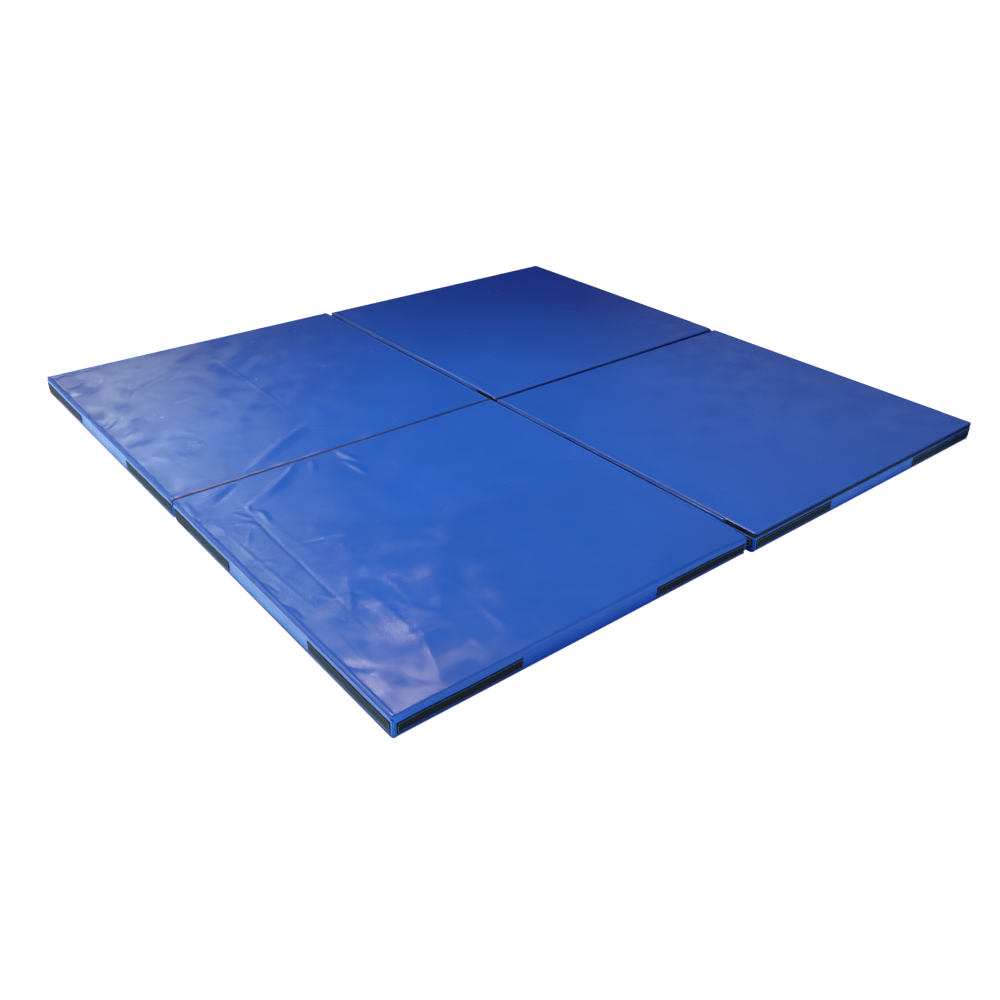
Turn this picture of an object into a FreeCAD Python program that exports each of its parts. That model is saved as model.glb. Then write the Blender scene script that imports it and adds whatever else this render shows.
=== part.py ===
"""Two bi-fold gym mats lying side by side, each a pair of foam panels in zipped covers.

The right mat lies with its fold on the top face.  The left mat is the same mat turned
over about X, so its fold and its zips are at the floor.  Everything is in millimetres,
+Z up, X across the two mats, Y along the direction in which each mat folds, and the
origin is on the floor under the middle of the overall box.
"""
import FreeCAD, Part
import os

Vector = FreeCAD.Vector

# Driving dimensions
PANEL_WIDTH = 1000.0        # along X
PANEL_LENGTH = 975.0        # along Y
THICKNESS = 57.0
FOLD_GAP = 5.0              # between the two panels of one mat
MAT_GAP = 16.0              # between the two mats
MAT_STAGGER = 10.0          # how far the right mat lies in front of the left one

# Coated-fabric cover and foam core
SHEET = 1.0                 # cover thickness
EDGE_ROUND = 3.0            # roll of the face sheets over the long edges
CORNER_ROUND = 4.0          # upright corners of the cover
FOAM_INSET = 2.0            # foam set back from the outside of the side band
FOAM_EDGE_ROUND = 1.5
SEAM_CLEARANCE = 0.15       # half of the slit between the two halves of the fold web

# Hook-and-loop strips on the sides
STRIP_LENGTH = 300.0
STRIP_HEIGHT = 26.0
STRIP_THICKNESS = 2.0
STRIP_FROM_CORNER = 8.0
STRIP_BASE = (THICKNESS - STRIP_HEIGHT) / 2

# Zip along one side of every panel, carried round both corners
ZIP_WINDOW = 11.0           # height of the opening in the side band
ZIP_TOP = THICKNESS - EDGE_ROUND
ZIP_BASE = ZIP_TOP - ZIP_WINDOW
ZIP_MIDDLE = (ZIP_TOP + ZIP_BASE) / 2
ZIP_RETURN = 95.0           # length carried round each corner
TAPE_THICKNESS = 0.8
TAPE_HEM = 5.0              # tape sewn behind the side band
TAPE_TAIL = 4.0             # tape past the end of the window
CHAIN_SLIT = 1.2            # between the two rows of elements
ROW_HEIGHT = 2.5
CHAIN_PROUD = 0.6           # elements outside the face of the cover
CHAIN_END = 5.0             # from the end of the window to the last element
STOP_LENGTH = 2.0
STOP_HEIGHT = 8.0
STOP_PROUD = 0.8

# Slider, parked near the end of the +X return, and its pull
SLIDER_LENGTH = 14.0
SLIDER_HEIGHT = 10.0
SLIDER_TRAVEL = 60.0
SLIDER_FROM_CORNER = 80.0
FRONT_PLATE = 1.4
BACK_PLATE = 1.2
SLIDER_CLEARANCE = 0.4
POST_LENGTH = 2.0
POST_HEIGHT = 0.8
CROWN_LENGTH = 5.0
CROWN_HEIGHT = 3.0
CROWN_RISE = 2.6
CROWN_ROUND = 1.2
PLATE_ROUND = 3.0            # corners of both plates
PIVOT_RISE = 1.3            # pull's pin above the front plate
EYE_RADIUS = 0.86
PIN_RADIUS = 0.8
PULL_LENGTH = 28.0
PULL_HEIGHT = 8.4
PULL_THICKNESS = 1.4
PULL_ROUND = 2.5             # corners of the pull's free end
FORK_LENGTH = 7.0
FORK_ROOT = 1.0             # solid stretch between the fork's legs and the tab
FORK_GAP = 3.6
FORK_HEIGHT = 6.4
FORK_ROOT_RADIUS = 1.0

# Derived places
HALF_WIDTH = PANEL_WIDTH / 2
HALF_LENGTH = PANEL_LENGTH / 2
TAPE_BACK = SHEET + TAPE_THICKNESS
FRONT_FACE = CHAIN_PROUD + SLIDER_CLEARANCE + FRONT_PLATE
BACK_FACE = TAPE_BACK + SLIDER_CLEARANCE + BACK_PLATE
PULL_REACH = FRONT_FACE + CROWN_RISE
# the pulls stand further out on +X than the strips do on -X
CENTRE_SHIFT = (STRIP_THICKNESS - PULL_REACH) / 2
FAR = 2 * max(PANEL_WIDTH, PANEL_LENGTH)
PARALLEL = 0.99             # least share of a direction for an edge to count as along it
TOLERANCE = 1e-6


def block(x, y, z):
    """A box given by its (low, high) limits along each axis."""
    size = [high - low for low, high in (x, y, z)]
    return Part.makeBox(*size, Vector(x[0], y[0], z[0]))


def upright_edges(shape):
    """The straight edges that run along Z."""
    return [e for e in shape.Edges if abs(e.tangentAt(e.FirstParameter).z) > PARALLEL]


def outward_edges(shape):
    """The straight edges that run along X, out from the side that the zip's slider is on."""
    return [e for e in shape.Edges if abs(e.tangentAt(e.FirstParameter).x) > PARALLEL]


def level_edges(shape, heights):
    """The edges that lie at one of the given heights."""
    return [e for e in shape.Edges
            if any(abs(e.BoundBox.ZMin - z) < TOLERANCE and abs(e.BoundBox.ZMax - z) < TOLERANCE
                   for z in heights)]


def panel_block(grow, z_low, z_high):
    """The panel's footprint, grown outwards by grow, with rounded upright corners."""
    half_x = HALF_WIDTH + grow
    half_y = HALF_LENGTH + grow
    shape = block((-half_x, half_x), (-half_y, half_y), (z_low, z_high))
    return shape.makeFillet(CORNER_ROUND + grow, upright_edges(shape))


def softened(shape, radius, heights):
    """Round the edges at the given heights."""
    return shape.makeFillet(radius, level_edges(shape, heights))


def ring(outside, inside, z_low, z_high):
    """A wall round the panel between two distances outside its face."""
    return panel_block(outside, z_low, z_high).cut(panel_block(inside, z_low, z_high))


def zip_zone(past=0.0):
    """All the space in front of the end of the zip's returns."""
    return block((-FAR, FAR), (-FAR, -HALF_LENGTH + ZIP_RETURN + past), (-FAR, FAR))


def make_foam_core():
    core = panel_block(-FOAM_INSET, SHEET, THICKNESS - SHEET)
    core = softened(core, FOAM_EDGE_ROUND, (SHEET, THICKNESS - SHEET))
    # shallow groove where the slider's back plate runs along the +X return
    start = -HALF_LENGTH + SLIDER_FROM_CORNER
    room = SLIDER_LENGTH / 2 + 2 * SLIDER_CLEARANCE
    groove = block((HALF_WIDTH - BACK_FACE - SLIDER_CLEARANCE, FAR),
                   (start - SLIDER_TRAVEL - room, start + room),
                   (ZIP_BASE, ZIP_TOP))
    return core.cut(groove)


def make_cover_shell():
    outside = softened(panel_block(0, 0, THICKNESS), EDGE_ROUND, (0, THICKNESS))
    inside = softened(panel_block(-SHEET, SHEET, THICKNESS - SHEET),
                      EDGE_ROUND - SHEET, (SHEET, THICKNESS - SHEET))
    return outside.cut(inside)


def make_face_sheets(fold_side):
    """The face with the fold, carried half-way over the fold gap, and the plain face."""
    shell = make_cover_shell()
    fold_face = shell.common(block((-FAR, FAR), (-FAR, FAR), (ZIP_TOP, FAR)))
    plain_face = shell.common(block((-FAR, FAR), (-FAR, FAR), (-FAR, EDGE_ROUND)))
    web_y = sorted(fold_side * y for y in (HALF_LENGTH - EDGE_ROUND,
                                           HALF_LENGTH + FOLD_GAP / 2 - SEAM_CLEARANCE))
    web_x = HALF_WIDTH - CORNER_ROUND
    web = block((-web_x, web_x), web_y, (THICKNESS - SHEET, THICKNESS))
    return fold_face.fuse(web).removeSplitter(), plain_face


def make_side_band():
    """The cover's sides, open where the zip shows."""
    band = ring(0, -SHEET, EDGE_ROUND, ZIP_TOP)
    window = ring(SHEET, -2 * SHEET, ZIP_BASE, ZIP_TOP).common(zip_zone())
    return band.cut(window)


def side_strips(side_x):
    """Two strips on an X side, one at each end of it."""
    face = side_x * HALF_WIDTH
    x = sorted((face, face + side_x * STRIP_THICKNESS))
    far_end = HALF_LENGTH - STRIP_FROM_CORNER
    return [block(x, sorted((end * far_end, end * (far_end - STRIP_LENGTH))),
                  (STRIP_BASE, STRIP_BASE + STRIP_HEIGHT)) for end in (-1, 1)]


def end_strips(side_y):
    """Two strips on a Y side, one at each end of it."""
    face = side_y * HALF_LENGTH
    y = sorted((face, face + side_y * STRIP_THICKNESS))
    far_end = HALF_WIDTH - STRIP_FROM_CORNER
    return [block(sorted((end * far_end, end * (far_end - STRIP_LENGTH))), y,
                  (STRIP_BASE, STRIP_BASE + STRIP_HEIGHT)) for end in (-1, 1)]


def two_rows(make_row):
    """Two solids mirrored about the middle of the zip."""
    centre = Vector(0, 0, ZIP_MIDDLE)
    lower = make_row()
    return Part.makeCompound([lower, lower.mirror(centre, Vector(0, 0, 1))])


def make_zip_tapes():
    def lower_tape():
        tape = ring(-SHEET, -TAPE_BACK, ZIP_BASE - TAPE_HEM, ZIP_MIDDLE - CHAIN_SLIT / 2)
        return tape.common(zip_zone(TAPE_TAIL))

    def upper_tape():
        tape = ring(-SHEET, -TAPE_BACK, ZIP_MIDDLE + CHAIN_SLIT / 2, ZIP_TOP)
        return tape.common(zip_zone(TAPE_TAIL))

    return Part.makeCompound([lower_tape(), upper_tape()])


def make_zip_chain():
    def lower_row():
        top = ZIP_MIDDLE - CHAIN_SLIT / 2
        row = ring(CHAIN_PROUD, -SHEET, top - ROW_HEIGHT, top)
        return row.common(zip_zone(-CHAIN_END))

    return two_rows(lower_row)


def make_zip_stops():
    y_low = -HALF_LENGTH + ZIP_RETURN - CHAIN_END
    z = (ZIP_MIDDLE - STOP_HEIGHT / 2, ZIP_MIDDLE + STOP_HEIGHT / 2)
    stops = []
    for side in (-1, 1):
        x = sorted(side * (HALF_WIDTH + w) for w in (-SHEET, STOP_PROUD))
        stop = block(x, (y_low, y_low + STOP_LENGTH), z)
        stops.append(stop)
    return Part.makeCompound(stops)


def slider_part(w, u, v):
    """A box on the +X return: w outwards from the cover, u along it, v across it."""
    along = -HALF_LENGTH + SLIDER_FROM_CORNER
    return block((HALF_WIDTH + w[0], HALF_WIDTH + w[1]), (along + u[0], along + u[1]),
                 (ZIP_MIDDLE + v[0], ZIP_MIDDLE + v[1]))


def centred(size):
    return (-size / 2, size / 2)


def pivot_cylinder(radius, height):
    """A cylinder on the pull's pivot axis, which stands upright."""
    base = Vector(HALF_WIDTH + FRONT_FACE + PIVOT_RISE,
                  -HALF_LENGTH + SLIDER_FROM_CORNER, ZIP_MIDDLE - height / 2)
    return Part.makeCylinder(radius, height, base)


def make_zip_slider():
    plate_u = centred(SLIDER_LENGTH)
    plate_v = centred(SLIDER_HEIGHT)
    front = slider_part((FRONT_FACE - FRONT_PLATE, FRONT_FACE), plate_u, plate_v)
    back = slider_part((-BACK_FACE, -BACK_FACE + BACK_PLATE), plate_u, plate_v)
    front = front.makeFillet(PLATE_ROUND, outward_edges(front))
    back = back.makeFillet(PLATE_ROUND, outward_edges(back))
    post = slider_part((-BACK_FACE, FRONT_FACE), centred(POST_LENGTH), centred(POST_HEIGHT))
    crown = slider_part((FRONT_FACE - FRONT_PLATE, PULL_REACH), centred(CROWN_LENGTH),
                        centred(CROWN_HEIGHT))
    outer = [e for e in upright_edges(crown) if e.BoundBox.XMin > HALF_WIDTH + FRONT_FACE]
    crown = crown.makeFillet(CROWN_ROUND, outer)
    body = front.fuse([back, post, crown]).removeSplitter()
    return body.cut(pivot_cylinder(EYE_RADIUS, 2 * CROWN_HEIGHT))


def make_zip_pull():
    pivot = FRONT_FACE + PIVOT_RISE
    w = (pivot - PULL_THICKNESS / 2, pivot + PULL_THICKNESS / 2)
    legs = FORK_LENGTH - FORK_ROOT
    tab = slider_part(w, (legs, PULL_LENGTH), centred(PULL_HEIGHT))
    far = -HALF_LENGTH + SLIDER_FROM_CORNER + PULL_LENGTH
    free_end = [e for e in outward_edges(tab) if e.BoundBox.YMin > far - TOLERANCE]
    tab = tab.makeFillet(PULL_ROUND, free_end)
    fork = slider_part(w, (0, FORK_LENGTH), centred(FORK_HEIGHT))
    fork = fork.fuse(pivot_cylinder(FORK_ROOT_RADIUS, FORK_HEIGHT))
    slot = slider_part((0, FAR), (-FORK_LENGTH, legs), centred(FORK_GAP))
    return fork.cut(slot).fuse([tab, pivot_cylinder(PIN_RADIUS, FORK_HEIGHT)]).removeSplitter()


def make_panel(fold_side):
    """Every piece of one panel, centred on it; its fold is on the fold_side of Y."""
    fold_face, plain_face = make_face_sheets(fold_side)
    loop = side_strips(-1)
    hook = side_strips(1)
    if fold_side > 0:
        loop = loop + end_strips(-1)
    else:
        hook = hook + end_strips(1)
    return {
        "foam_core": make_foam_core(),
        "fold_face_sheet": fold_face,
        "plain_face_sheet": plain_face,
        "side_band": make_side_band(),
        "loop_strips": Part.makeCompound(loop),
        "hook_strips": Part.makeCompound(hook),
        "zip_tapes": make_zip_tapes(),
        "zip_chain": make_zip_chain(),
        "zip_stops": make_zip_stops(),
        "zip_slider": make_zip_slider(),
        "zip_pull": make_zip_pull(),
    }


def place(shape, panel_y, mat_side):
    """Put a panel's piece in its mat, turn the left mat over, and set the mat down."""
    placed = shape.copy()
    placed.translate(Vector(0, panel_y, 0))
    if mat_side < 0:
        placed.rotate(Vector(0, 0, THICKNESS / 2), Vector(1, 0, 0), 180)
    placed.translate(Vector(mat_side * (MAT_GAP + PANEL_WIDTH) / 2 + CENTRE_SHIFT,
                            -mat_side * MAT_STAGGER / 2, 0))
    return placed


def main():
    os.makedirs("parts", exist_ok=True)
    near_panel = make_panel(fold_side=1)
    far_panel = make_panel(fold_side=-1)
    panel_y = (PANEL_LENGTH + FOLD_GAP) / 2
    # turning the left mat over swaps its near and far panels
    panels = {
        "right_near": (near_panel, -panel_y, 1),
        "right_far": (far_panel, panel_y, 1),
        "left_near": (far_panel, panel_y, -1),
        "left_far": (near_panel, -panel_y, -1),
    }
    whole = FreeCAD.BoundBox()
    for panel, (pieces, y, mat_side) in panels.items():
        for piece, shape in pieces.items():
            placed = place(shape, y, mat_side)
            placed.exportStep(f"parts/{panel}_{piece}.step")
            whole.add(placed.BoundBox)
            solids = placed.Solids
            print(f"{panel}_{piece}: {len(solids)} solids, valid {placed.isValid()},",
                  f"{sum(s.Volume for s in solids) / 1000:.3f} cm3")
    print("overall box", whole)


main()
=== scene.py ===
"""The looks of two bi-fold gym mats: PVC covers, hook-and-loop strips, zips and folds.

Each panel is made in its own frame, with the fold face up and the zip on -Y, as the CAD
has it, and then set down in the row frame.  The left mat is turned over about X.
"""
import math

import bmesh
import bpy
import numpy as np
from mathutils import Matrix, Vector


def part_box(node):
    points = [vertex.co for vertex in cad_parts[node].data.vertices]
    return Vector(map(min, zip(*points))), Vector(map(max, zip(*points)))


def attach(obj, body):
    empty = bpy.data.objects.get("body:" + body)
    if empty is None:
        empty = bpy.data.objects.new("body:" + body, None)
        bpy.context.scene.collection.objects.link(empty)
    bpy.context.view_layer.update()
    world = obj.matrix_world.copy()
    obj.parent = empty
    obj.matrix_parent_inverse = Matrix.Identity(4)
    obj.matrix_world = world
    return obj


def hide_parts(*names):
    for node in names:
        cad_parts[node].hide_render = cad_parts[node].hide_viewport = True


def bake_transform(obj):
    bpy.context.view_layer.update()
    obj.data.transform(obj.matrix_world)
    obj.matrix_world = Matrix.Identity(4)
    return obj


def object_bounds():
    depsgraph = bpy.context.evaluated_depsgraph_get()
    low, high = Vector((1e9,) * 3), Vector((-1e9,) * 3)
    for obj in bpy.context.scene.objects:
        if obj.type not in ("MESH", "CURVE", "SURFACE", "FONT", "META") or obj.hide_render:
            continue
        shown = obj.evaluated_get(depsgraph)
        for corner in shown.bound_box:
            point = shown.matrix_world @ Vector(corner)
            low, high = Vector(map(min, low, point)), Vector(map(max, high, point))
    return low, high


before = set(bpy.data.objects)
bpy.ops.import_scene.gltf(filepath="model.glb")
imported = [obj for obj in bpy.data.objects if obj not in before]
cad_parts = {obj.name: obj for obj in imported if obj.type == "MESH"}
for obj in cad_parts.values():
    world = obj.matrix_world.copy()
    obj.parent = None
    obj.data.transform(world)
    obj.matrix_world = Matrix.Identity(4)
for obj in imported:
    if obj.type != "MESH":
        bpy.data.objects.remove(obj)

CAD_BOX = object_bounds()
MM = 0.001
scene = bpy.context.scene
scene.view_settings.view_transform = "Standard"

# Camera, measured on the mats' corners
CAMERA_PLACE = Vector((-1.689, -2.092, 1.261))
CAMERA_AZIMUTH = 50.55       # of the line of sight, from +X towards +Y
CAMERA_TILT = 30.14          # below the horizon
CAMERA_ROLL = 0.87
CAMERA_LENS = 34.81

# Cover cloth
BORDER_ROWS = 22             # rows of mesh that go over the edge of a face
BORDER = 14 * MM             # how far in from the side those rows start
CORNER_POWER = 5             # plan of a corner: a superellipse, about a 5 mm radius
WRAP_DROP = 14 * MM          # where a wrapped edge meets the side cloth
SEAM_PINCH = 4.4 * MM        # depth of the sewn groove along an X side
HEM_PINCH = 1.0 * MM
SIDE_ROWS = 26               # rows of mesh down a side
FOLD_DIP = 7 * MM            # sag of the cloth that crosses the fold
FOLD_SPREAD = 6 * MM         # how far that sag reaches onto each panel
PANEL_STEP = {"left_near": 4.2 * MM, "left_far": 5.2 * MM, "right": 6.2 * MM}  # of the mesh
HIDDEN_STEP = 16 * MM        # the same on the faces that lie on the floor
SIDE_STEP = 7 * MM
STRIP_SAG = 4 * MM           # how far below mid-height the strips are
SLIT_DROOP = 2.5 * MM
CORNER_DROP = 6.5 * MM       # of the left near panel's free corner, and how far it reaches
CORNER_REACH = 85 * MM
PAINTED_SLIT_SHADE_ROWS = (0.26 * BORDER_ROWS, 0.42 * BORDER_ROWS)   # painted shade: rows of a slit's edge darkened in place of the shade down in the slit; the next pair is for a tight edge
TIGHT_PAINTED_SLIT_SHADE_ROWS = (0.65 * BORDER_ROWS, 0.8 * BORDER_ROWS)
TOP_WEIGHT = 2               # how fast the top's waves fade down the side


# ---------------- small tools

def smoothstep(low, high, value):
    t = np.clip((value - low) / (high - low), 0, 1)
    return t * t * (3 - 2 * t)


def bell(value, middle, width):
    return np.exp(-((value - middle) / width) ** 2)


def distances(points):
    """How far along a path each of its points lies."""
    steps = np.linalg.norm(np.diff(points, axis=0), axis=1)
    return np.concatenate([[0], np.cumsum(steps)])


def smooth_path(points, count):
    """A smooth line through a few points, as count evenly spaced ones."""
    knots = np.array(points, float)
    slopes = np.gradient(knots, axis=0)
    t = np.linspace(0, len(knots) - 1, 60 * len(knots))
    i = np.minimum(t.astype(int), len(knots) - 2)
    u = (t - i)[:, None]
    line = ((2 * u ** 3 - 3 * u ** 2 + 1) * knots[i] + (u ** 3 - 2 * u ** 2 + u) * slopes[i]
            + (3 * u ** 2 - 2 * u ** 3) * knots[i + 1] + (u ** 3 - u ** 2) * slopes[i + 1])
    at = np.linspace(0, distances(line)[-1], count)
    return along_path(line, line, at)


def along_path(points, values, at):
    """Values given at the points of a path, at distances along it."""
    run = distances(points)
    return np.stack([np.interp(at, run, column) for column in values.T], axis=1)


def graded(low, high, step, places=(), fine=1 * MM):
    """Positions from low to high, step apart, closer near both ends and near the places."""
    marks = np.array([low, high, *places])
    found = [low]
    while found[-1] < high:
        near = np.abs(marks - found[-1]).min()
        found.append(found[-1] + min(step, max(fine, 0.3 * near)))
    found = np.array(found)
    return low + (found - low) * (high - low) / (found[-1] - low)


def value_noise(points, size, seed):
    """Smooth noise from -1 to 1 with lumps of about the given size, the same each run."""
    p = np.asarray(points, float) / size + 1000
    cell = np.floor(p).astype(np.int64)
    t = p - cell
    t = t * t * t * (t * (6 * t - 15) + 10)
    total = np.zeros(p.shape[:-1])
    for corner in np.ndindex(*(2,) * p.shape[-1]):
        key = np.full(p.shape[:-1], seed * 7919 + 17, np.int64)
        weight = np.ones(p.shape[:-1])
        for axis, step in enumerate(corner):
            key = (key * 73856093 + (cell[..., axis] + step) * 19349663) & 0xFFFFFFFF
            key = (key ^ (key >> 13)) * 1274126177 & 0xFFFFFFFF
            weight = weight * (t[..., axis] if step else 1 - t[..., axis])
        total += weight * ((key ^ (key >> 16)) & 0xFFFF) / 0xFFFF
    return 2 * total - 1


def new_piece(name, points, faces, uv=None, wear_and_shade=None):
    mesh = bpy.data.meshes.new(name)
    mesh.from_pydata(np.asarray(points).reshape(-1, 3).tolist(), [], faces)
    mesh.polygons.foreach_set("use_smooth", [True] * len(mesh.polygons))
    if uv is not None:
        layer = mesh.uv_layers.new(name="cloth")
        corners = np.zeros(len(mesh.loops), np.int32)
        mesh.loops.foreach_get("vertex_index", corners)
        layer.data.foreach_set("uv", np.asarray(uv).reshape(-1, 2)[corners].ravel())
    if wear_and_shade is not None:
        # the attribute holds real rubbing as positive values and painted shade in slits and fold
        # valleys as negative ones
        layer = mesh.attributes.new("wear_and_shade", "FLOAT", "POINT")
        layer.data.foreach_set("value", np.asarray(wear_and_shade, np.float32).ravel())
    mesh.validate()
    piece = bpy.data.objects.new(name, mesh)
    scene.collection.objects.link(piece)
    return piece


def grid_faces(rows, columns, closed=False, flip=False):
    """Quads of a grid of points; closed joins the last row to the first."""
    row = np.arange(rows if closed else rows - 1)[:, None]
    column = np.arange(columns - 1)[None, :]
    after = (row + 1) % rows
    quads = np.stack([row * columns + column, after * columns + column,
                      after * columns + column + 1, row * columns + column + 1], axis=-1)
    quads = quads.reshape(-1, 4)
    return (quads[:, ::-1] if flip else quads).tolist()


def solids_of(node):
    """The (low, high) box of each separate solid in a CAD node."""
    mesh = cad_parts[node].data
    places = [tuple(round(c, 5) for c in v.co) for v in mesh.vertices]
    group = {place: place for place in places}

    def root(place):
        while group[place] != place:
            place = group[place]
        return place

    for face in mesh.polygons:
        first = root(places[face.vertices[0]])
        for other in face.vertices:
            group[root(places[other])] = first
    found = {}
    for place in group:
        found.setdefault(root(place), []).append(place)
    boxes = [(np.min(members, axis=0), np.max(members, axis=0)) for members in found.values()]
    return sorted(boxes, key=lambda pair: tuple(pair[0]))


# ---------------- panels

class Panel:
    """One foam panel: its place in the row frame and its own, upright frame."""

    def __init__(self, name):
        self.name = name
        low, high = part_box(f"{name}_side_band")
        self.centre = (low + high) / 2
        self.half_x = (high.x - low.x) / 2
        self.half_y = (high.y - low.y) / 2
        self.turned = name.startswith("left")
        tapes, stops = self.own_box("zip_tapes"), self.own_box("zip_stops")
        chain = self.own_box("zip_chain")
        self.zip_top = tapes[1][2]
        self.zip_middle = (chain[0][2] + chain[1][2]) / 2
        self.zip_base = 2 * self.zip_middle - self.zip_top
        self.zip_end = stops[1][1] + 3 * MM
        self.chain_end = stops[0][1]
        self.strips = [(kind, *self.to_own_box(box)) for kind in ("loop", "hook")
                       for box in solids_of(f"{name}_{kind}_strips")]

    def turn(self, points):
        """Turn a left panel over; a second turn takes it back."""
        return points * (1, -1, -1) + (0, 0, THICKNESS) if self.turned else points

    def to_own(self, points):
        return self.turn(np.array(points, float) - (self.centre.x, self.centre.y, 0))

    def to_row(self, points):
        return self.turn(np.array(points, float)) + (self.centre.x, self.centre.y, 0)

    def to_own_box(self, box):
        ends = self.to_own(np.array(box))
        return ends.min(axis=0), ends.max(axis=0)

    def own_box(self, piece):
        return self.to_own_box([tuple(corner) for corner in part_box(f"{self.name}_{piece}")])


THICKNESS = CAD_BOX[1].z
PANELS = {name: Panel(name) for name in ("left_near", "left_far", "right_near", "right_far")}


# ---------------- folds and waves of the cloth

def fold(x, y, points, widths, height):
    """A tapering ridge along a line through the points, its slopes of two widths.

    The first width is that of the slope on the left, for someone walking along the line.
    """
    path = smooth_path(points, 24)
    reach = 2.6 * max(widths)
    low, high = path.min(axis=0) - reach, path.max(axis=0) + reach
    near = (x > low[0]) & (x < high[0]) & (y > low[1]) & (y < high[1])
    result = np.zeros(x.shape)
    if not near.any():
        return result
    spot = np.stack([x[near], y[near]], axis=-1)
    start, step = path[:-1], np.diff(path, axis=0)
    offset = spot[:, None, :] - start
    share = np.clip((offset * step).sum(-1) / (step * step).sum(-1), 0, 1)
    away = offset - share[..., None] * step
    distance = np.linalg.norm(away, axis=-1)
    nearest = distance.argmin(axis=1)
    pick = np.arange(len(spot))
    along = (nearest + share[pick, nearest]) / len(step)
    side = step[nearest, 0] * away[pick, nearest, 1] - step[nearest, 1] * away[pick, nearest, 0]
    taper = np.sin(math.pi * np.clip(along, 0.02, 0.98)) ** 0.8
    width = np.where(side > 0, *widths) * (0.55 + 0.45 * taper)
    result[near] = height * taper * np.exp(-(distance[pick, nearest] / width) ** 2)
    return result


# Widths of both slopes, height, then X and Y of its points in the row frame, in millimetres
TOP_FOLDS = [
    # left far panel: a crease down its middle, a wedge by the slit, dimples along -X
    (4, 3, 0.88, -532, 930, -529, 680, -529, 420, -545, 180),
    (11, 22, 5.3, -800, 28, -718, 77, -641, 124, -545, 178),
    (8, 5, 0.96, -545, 182, -515, 136, -490, 110),
    (13, 12, -3, -1000, 935, -980, 955, -955, 970),
    (15, 12, -2.9, -1000, 830, -960, 852, -920, 870),
    (12, 10, -2.2, -1000, 765, -974, 773, -940, 770),
    (12, 13, -2.6, -1010, 490, -973, 522, -935, 570),
    (5, 7, 0.72, -800, 525, -753, 545, -680, 554),
    (5, 7, 0.64, -840, 418, -770, 418),
    (5, 8, 1.6, -1010, 55, -987, 27, -955, 6),
    # left near panel: folds that fan out of its corner at the slit
    (20, 9, 5.8, -680, -8, -728, -54, -800, -100, -880, -140),
    (9, 6, 2.1, -872, -130, -884, -165, -866, -185, -872, -245),
    (4, 3.6, -0.99, -886, -55, -892, -220, -900, -500, -906, -760),
    (4, 3.6, 0.88, -972, -70, -968, -380, -952, -650),
    (2.6, 2.8, 0.45, -964, -670, -966, -780, -969, -930),
    (2.6, 2.8, 0.4, -950, -720, -960, -880),
    (12, 10, 3.5, -850, -10, -917, -40, -975, -66),
    (9, 9, -2.7, -860, -36, -911, -66, -960, -95, -998, -130),
    (12, 8, 2.7, -990, -12, -997, -70, -1000, -120),
    (12, 10, -3.2, -1010, -122, -985, -135, -965, -125),
    (7, 7, 1.9, -1005, -158, -980, -150, -960, -153),
    (8, 6, 1.9, -950, -147, -920, -156, -905, -185, -885, -204),
    (10, 6, 2.1, -970, -180, -916, -211, -895, -246),
    (7, 7, -1.8, -1010, -226, -984, -231, -960, -237),
    (16, 9, 3.7, -550, 0, -552, -49, -536, -108),
    (13, 8, 2.1, -572, -65, -563, -118, -560, -180),
    (10, 8, 1.4, -630, -12, -645, -45, -665, -80),
    (5, 6, -1.1, -890, -363, -850, -370, -805, -382, -760, -398),
    (8, 6, 0.96, -1010, -350, -967, -379, -930, -410),
    (6, 6, 0.8, -920, -240, -950, -285, -968, -305),
    (5, 5, -1.1, -1000, -440, -989, -470, -986, -505),
    (7, 7, -1.4, -1010, -530, -988, -569, -986, -625),
    # crumples near its middle
    (7, 6, 0.9, -850, -565, -898, -650, -937, -686),
    (4, 5, -0.8, -900, -645, -925, -682, -935, -660),
    (5, 4, -0.65, -868, -590, -860, -616, -843, -624),
    (6, 5, 0.65, -930, -560, -908, -594, -880, -604),
    (12, 9, 0.55, -840, -600, -837, -697, -840, -790),
    (11, 8, 0.48, -790, -560, -775, -640, -790, -720),
    (7, 6, 0.48, -832, -680, -842, -775, -852, -840),
    (8, 6, 0.65, -820, -790, -853, -876, -876, -930),
    (9, 7, 0.48, -885, -790, -830, -800, -765, -810),
    (13, 10, -1.6, -1000, -790, -977, -826, -950, -846),
    (10, 9, 0.48, -686, -820, -673, -920),
    (11, 10, 0.4, -553, -440, -559, -520),
    (10, 7, 0.65, -55, -800, -30, -885),
    # right far panel: the cover stands proud beside the gap, next to the fold
    (15, 14, 4.2, 12, 440, 22, 250, 28, 130, 12, 8),
    (9, 8, -1.2, -4, 480, 12, 310, 47, 180, 58, 20),
    # right near panel
    (9, 7, 0.96, 100, -955, 160, -900, 240, -880),
    (9, 7, 0.96, 50, -930, 100, -840, 110, -760),
]


def random_creases():
    """Faint creases from handling, scattered over both mats."""
    draw = np.random.default_rng(5)
    creases = []
    for _ in range(170):
        x, y = draw.uniform(-1000, 1000), draw.uniform(-950, 950)
        # most are on the panel whose foam fits its cover loosely
        if draw.random() < 0.5:
            x, y = draw.uniform(-970, -550), draw.uniform(-930, -300)
        heading, length = draw.uniform(0, math.pi), draw.uniform(30, 100)
        bow = draw.uniform(-0.2, 0.2) * length
        dx, dy = length * math.cos(heading), length * math.sin(heading)
        middle = (x - bow * math.sin(heading), y + bow * math.cos(heading))
        width = draw.uniform(10, 16)
        creases.append((width, 0.7 * width, draw.uniform(0.12, 0.4),
                        x - dx, y - dy, *middle, x + dx, y + dy))
    return creases


ALL_FOLDS = TOP_FOLDS + random_creases()


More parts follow.
